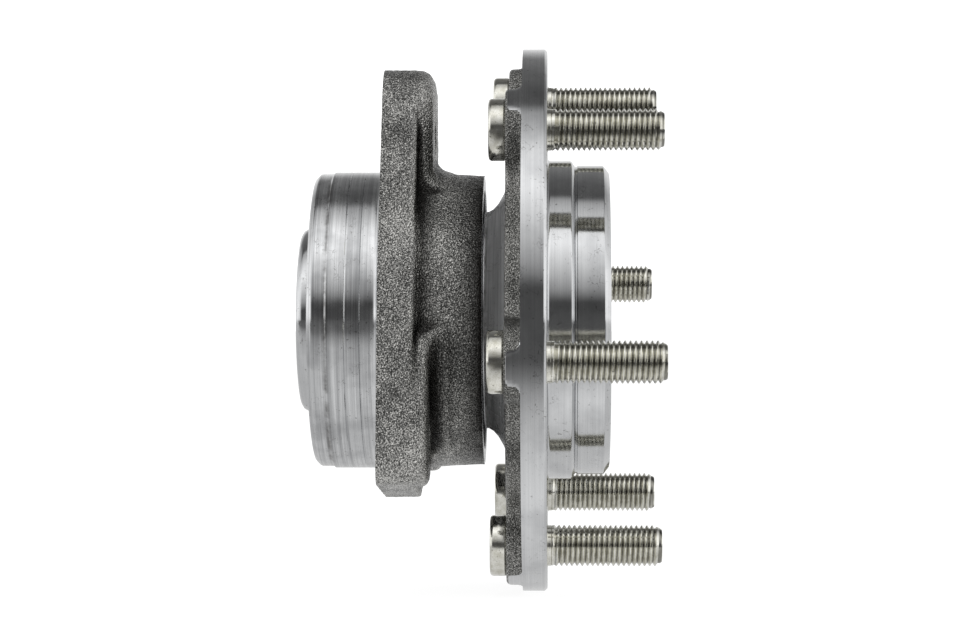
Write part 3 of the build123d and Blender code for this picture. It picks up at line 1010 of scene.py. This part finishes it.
@dataclass(frozen=True)
class OuterRing:
    """The fixed outer ring: a shot-blasted forging with turned pilot, bores and faces."""

    end_out: float = -18.7
    end_in: float = -68.7
    knuckle_face: float = -48.2
    body_r: float = 43.0
    pilot_r: float = 44.1
    lead_r: float = 43.6
    lead_start: float = -63.0
    seal_bore_r: float = 38.9
    middle_land_r: float = 34.0
    race_starts: Window = (-61.19, -26.61)
    race_ends: Window = (-46.66, -41.14)
    core_r: float = 41.2
    # station and width of each groove that the tool left in the pilot
    grooves: tuple[Window, ...] = ((-53.3, 0.3), (-57.6, 0.4))
    groove_depth: float = 0.12
    steps: int = 256
    voxel: float = 0.62
    # both ends of the blank move out by the stretch, with every vertex this near to them
    stretch: float = 3.0
    near_knuckle: float = 0.05
    near_end: float = 0.9
    soften: int = 5
    relax_steps: int = 60
    skin: float = 0.16
    small_lump: float = 1.6
    large_lump: float = 5.5

    def build_forging(self) -> None:
        """Makes the forged skin from the solid: grown past the turned faces, then cut back."""
        bm = bmesh.new()
        bm.from_mesh(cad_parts["outer_ring"].data)
        bmesh.ops.remove_doubles(bm, verts=bm.verts, dist=SOLID_WELD)
        face_off(bm, self.knuckle_face - 0.01, -1)
        for vert in bm.verts:
            station, radius, angle = polar(vert.co)
            if station < self.knuckle_face + self.near_knuckle:
                vert.co = at_polar(station - self.stretch, radius, angle)
            elif station > self.end_out - self.near_end:
                vert.co = at_polar(station + self.stretch, max(radius, self.body_r - 0.2), angle)
        mesh = bpy.data.meshes.new("forging_blank")
        bm.to_mesh(mesh)
        bm.free()
        blank = bpy.data.objects.new("forging_blank", mesh)
        bpy.context.scene.collection.objects.link(blank)
        remesh = blank.modifiers.new("remesh", "REMESH")
        remesh.mode = "VOXEL"
        remesh.voxel_size = self.voxel * MM
        graph = bpy.context.evaluated_depsgraph_get()
        skin = bmesh.new()
        skin.from_mesh(bpy.data.meshes.new_from_object(blank.evaluated_get(graph)))
        bpy.data.objects.remove(blank)
        relax(skin, self.soften)
        skin.normal_update()
        self.mark_hollows(skin)
        small, large = self.small_lump * MM, self.large_lump * MM
        moves = [
            vert.normal * self.skin * MM * (
                noise.noise(vert.co / small) + 0.8 * noise.noise(vert.co / large))
            for vert in skin.verts
        ]
        for vert, move in zip(skin.verts, moves):
            vert.co += move
        face_off(skin, self.knuckle_face, -1)
        face_off(skin, self.end_out, 1)
        make_piece("outer_ring_forging", skin, [Finish.FORGED, Finish.TURNED], OUTER_BODY,
                   ("outer_ring",), sharp_deg=50, choose=self.finish_of)

    def mark_hollows(self, skin: Mesh) -> None:
        """Stores how far, in millimetres, each vertex would rise if the skin round it relaxed.

        Args:
            skin: The forged skin, which gets the attribute.
        """
        relaxed = skin.copy()
        relax(relaxed, self.relax_steps)
        deep = skin.verts.layers.float.new(DEEP)
        for vert, eased in zip(skin.verts, relaxed.verts):
            vert[deep] = (eased.co - vert.co).dot(vert.normal) / MM
        relaxed.free()

    def finish_of(self, station: float, radius: float, normal: Vector) -> int:
        """Number of the finish of a face of the forging."""
        on_cut = min(abs(station - self.knuckle_face), abs(station - self.end_out)) < 0.01
        return 1 if on_cut and abs(normal.y) > 0.95 else 0

    def build_turned(self) -> None:
        """The turned parts: end faces, seal bores, raceways and the knuckle pilot."""
        bm = bmesh.new()
        grooves: list[Corner] = []
        for start, width in self.grooves:
            grooves += [
                (start, self.pilot_r, 0),
                (start - width / 2, self.pilot_r - self.groove_depth, 0),
                (start - width, self.pilot_r, 0),
            ]
        corners: list[Corner] = [
            (self.end_out, self.seal_bore_r, 0.3),
            (self.end_out + 0.05, self.body_r - 0.7, 0.2),
            (self.end_out - 0.6, self.body_r - 0.3, 0),
            (self.end_out - 2.0, self.core_r, 0),
            (self.knuckle_face + 0.4, self.core_r, 0),
            (self.knuckle_face + 0.4, self.pilot_r + 1.7, 0),
            (self.knuckle_face - 0.05, self.pilot_r + 1.7, 0),
            (self.knuckle_face - 0.05, self.pilot_r, 1.6),
            *grooves,
            (self.lead_start, self.pilot_r, 0.2),
            (self.lead_start - 0.5, self.lead_r, 0.2),
            (self.end_in + 1.5, self.lead_r, 0.4),
            (self.end_in, self.lead_r - 1.5, 0.4),
            (self.end_in, self.seal_bore_r, 0.3),
            (self.race_starts[0], self.seal_bore_r, 0),
            (self.race_ends[0], self.middle_land_r, 0),
            (self.race_ends[1], self.middle_land_r, 0),
            (self.race_starts[1], self.seal_bore_r, 0),
        ]
        lathe(bm, outline_wire(bm, corners), self.steps)
        make_piece("outer_ring_turned", bm, [Finish.DRAWN_MARKS], OUTER_BODY,
                   sharp_deg=30)


# ---------------------------------------------------------------- sealed pieces and stage


@dataclass(frozen=True)
class SealedPieces:
    """Inner rings, rollers, cages and seals, which keep their solids."""

    dressed: tuple[tuple[str, Finish], ...] = (
        ("outboard_inner_ring", Finish.RACE),
        ("inboard_inner_ring", Finish.RACE),
        ("outboard_rollers", Finish.RACE),
        ("inboard_rollers", Finish.RACE),
        ("outboard_cage", Finish.CAGE),
        ("inboard_cage", Finish.CAGE),
        ("outboard_seal_case", Finish.SEAL_STEEL),
        ("inboard_seal_case", Finish.SEAL_STEEL),
        ("inboard_slinger", Finish.SEAL_STEEL),
        ("outboard_seal_lips", Finish.RUBBER),
        ("inboard_seal_lips", Finish.RUBBER),
        ("encoder_ring", Finish.MAGNET),
    )

    def dress(self) -> None:
        """Gives each node its finish."""
        for name, finish in self.dressed:
            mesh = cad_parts[name].data
            mesh.materials.clear()
            mesh.materials.append(finish.material())
            log.info("%s keeps its solid, in %s", name, finish.value.name)


@dataclass(frozen=True)
class SoftLamp:
    """A soft square lamp that points at the object. Its place and size are in metres."""

    name: str
    place: tuple[float, float, float]
    size: float
    watts: float

    def hang(self, scene: bpy.types.Scene) -> None:
        """Adds the lamp, unseen by metal.

        Args:
            scene: The scene to light.
        """
        data = bpy.data.lights.new(self.name, "AREA")
        data.size, data.energy = self.size, self.watts
        lamp = bpy.data.objects.new(self.name, data)
        lamp.location = self.place
        lamp.rotation_mode = "QUATERNION"
        lamp.rotation_quaternion = (-Vector(self.place)).to_track_quat("-Z", "Y")
        lamp.visible_glossy = False
        scene.collection.objects.link(lamp)


@dataclass(frozen=True)
class Studio:
    """White studio: floor, soft lamps, camera, and a world that metal can reflect."""

    distance: float = 869.0
    camera_station: float = 3.1
    aim_station: float = -20.2
    lens: float = 109.1
    floor_z: float = -80.6
    floor_size: float = 20.0
    floor_lift: float = 0.7
    floor_glow: float = 1.3
    brightness: float = 1.35
    lamps: tuple[SoftLamp, ...] = (
        SoftLamp("overhead_softbox", (0.35, 0.1, 1.0), size=0.9, watts=3.6),
        SoftLamp("back_softbox", (-0.7, -0.3, 0.7), size=0.7, watts=2.4),
    )
    # what metal sees of the room, from the back over the front (0.5) and up over the ceiling
    room: Stops = (
        (0.00, "FFFFFF"), (0.06, "D8D8D8"), (0.25, "D8D8D8"), (0.42, "A0A0A0"),
        (0.46, "545454"), (0.537, "464646"), (0.562, "989898"), (0.59, "BCBCBC"),
        (0.66, "FFFFFF"), (0.70, "F4F4F4"), (0.737, "C4C4C4"), (0.767, "A8A8A8"),
        (0.782, "4C4C4C"), (0.83, "5C5C5C"), (0.9, "747474"), (0.955, "D0D0D0"),
    )
    # what it sees of the floor, from under the object toward the camera
    sheet: Stops = (
        (0.05, "DCDCDC"), (0.14, "FBFBFB"), (0.3, "CACACA"), (0.46, "848484"), (0.6, "5C5C5C"))
    sheet_inboard: Stops = (
        (0.0, "D2D2D2"), (0.3, "D2D2D2"), (0.7, "A2A2A2"), (1.0, "727272"))

    def build(self) -> None:
        """Sets up everything round the object."""
        scene = bpy.context.scene
        scene.view_settings.view_transform = "Standard"
        self.camera(scene)
        self.floor(scene)
        self.world(scene)
        for lamp in self.lamps:
            lamp.hang(scene)

    def camera(self, scene: bpy.types.Scene) -> None:
        """Camera beside the unit, looking along -X at the height of the axis.

        Args:
            scene: The scene to set up.
        """
        data = bpy.data.cameras.new("camera")
        data.lens, data.sensor_width = self.lens, 36.0
        data.clip_start, data.clip_end = 0.01, 50.0
        camera = bpy.data.objects.new("camera", data)
        camera.location = Vector((self.distance, self.camera_station, 0)) * MM
        aim = Vector((0, self.aim_station * MM, 0)) - camera.location
        camera.rotation_mode = "QUATERNION"
        camera.rotation_quaternion = aim.to_track_quat("-Z", "Y")
        scene.collection.objects.link(camera)
        scene.camera = camera

    def floor(self, scene: bpy.types.Scene) -> None:
        """Pale matt floor that is white to the camera apart from the object's shadow.

        Args:
            scene: The scene to set up.
        """
        bm = bmesh.new()
        bmesh.ops.create_grid(bm, x_segments=1, y_segments=1, size=self.floor_size,
                              matrix=Matrix.Translation((0, 0, self.floor_z * MM)))
        mesh = bpy.data.meshes.new("floor")
        bm.to_mesh(mesh)
        bm.free()
        material, tree, shader = metal("matt_white_floor")
        for name, value in {"Metallic": 0.0, "Base Color": linear("F4F4F4"),
                            "Roughness": 0.9, "Specular IOR Level": 0.0}.items():
            shader.inputs[name].default_value = value
        path = add(tree, "ShaderNodeLightPath").outputs
        glow = add(tree, "ShaderNodeEmission", {"Strength": self.floor_glow})
        lift = calc(tree, "MULTIPLY", path["Is Camera Ray"], self.floor_lift)
        seen = add(tree, "ShaderNodeMixShader", {
            0: lift, 1: shader.outputs[0], 2: glow.outputs[0]})
        # to metal the lit sheet fades into the dark of the room in front of it
        ahead, along, _ = add(tree, "ShaderNodeSeparateXYZ", {
            0: add(tree, "ShaderNodeTexCoord").outputs["Object"]}).outputs
        outboard = ramp(tree, spread(tree, ahead, 0.0, 0.5), self.sheet)
        inboard = ramp(tree, spread(tree, ahead, 0.1, 0.5), self.sheet_inboard)
        sheet = blend(tree, spread(tree, along, -0.06, -0.02, 0.8, 0.0), outboard, inboard)
        mirrored = add(tree, "ShaderNodeEmission", {"Color": sheet, "Strength": 1.0})
        mixed = add(tree, "ShaderNodeMixShader", {
            0: path["Is Glossy Ray"], 1: seen.outputs[0], 2: mirrored.outputs[0]})
        tree.links.new(mixed.outputs[0], tree.nodes["Material Output"].inputs["Surface"])
        mesh.materials.append(material)
        floor = bpy.data.objects.new("floor", mesh)
        scene.collection.objects.link(floor)

    def world(self, scene: bpy.types.Scene) -> None:
        """White to the camera; to metal, a studio with a lit ceiling and a darker front.

        Args:
            scene: The scene to set up.
        """
        world = bpy.data.worlds.new("studio")
        scene.world = world
        world.use_nodes = True
        tree = world.node_tree
        tree.nodes.clear()
        way = add(tree, "ShaderNodeTexCoord").outputs["Generated"]
        ahead, sideways, up = add(tree, "ShaderNodeSeparateXYZ", {0: way}).outputs
        angle = calc(tree, "ARCTAN2", up, ahead)
        lit = ramp(tree, spread(tree, angle, -math.pi, math.pi), self.room)
        ends = spread(tree, calc(tree, "ABSOLUTE", sideways), 0.55, 0.95)
        lit = blend(tree, ends, lit, linear("FAFAFA"))
        path = add(tree, "ShaderNodeLightPath").outputs
        seen = calc(tree, "ADD", path["Is Glossy Ray"], path["Is Transmission Ray"])
        colour = blend(tree, seen, linear("B0B0B0"), lit)
        colour = blend(tree, path["Is Camera Ray"], colour, (1, 1, 1, 1))
        back = add(tree, "ShaderNodeBackground", {"Color": colour, "Strength": self.brightness})
        out = add(tree, "ShaderNodeOutputWorld")
        tree.links.new(back.outputs[0], out.inputs["Surface"])


def main() -> None:
    """Builds the unit piece by piece, then the studio round it."""
    hub = Hub()
    hub.build_body()
    hub.build_splines()
    for number in range(1, hub.stud_count + 1):
        WheelStud(number, hub).build()
    ring = OuterRing()
    ring.build_forging()
    ring.build_turned()
    SealedPieces().dress()
    Studio().build()


if __name__ == "__main__":
    main()
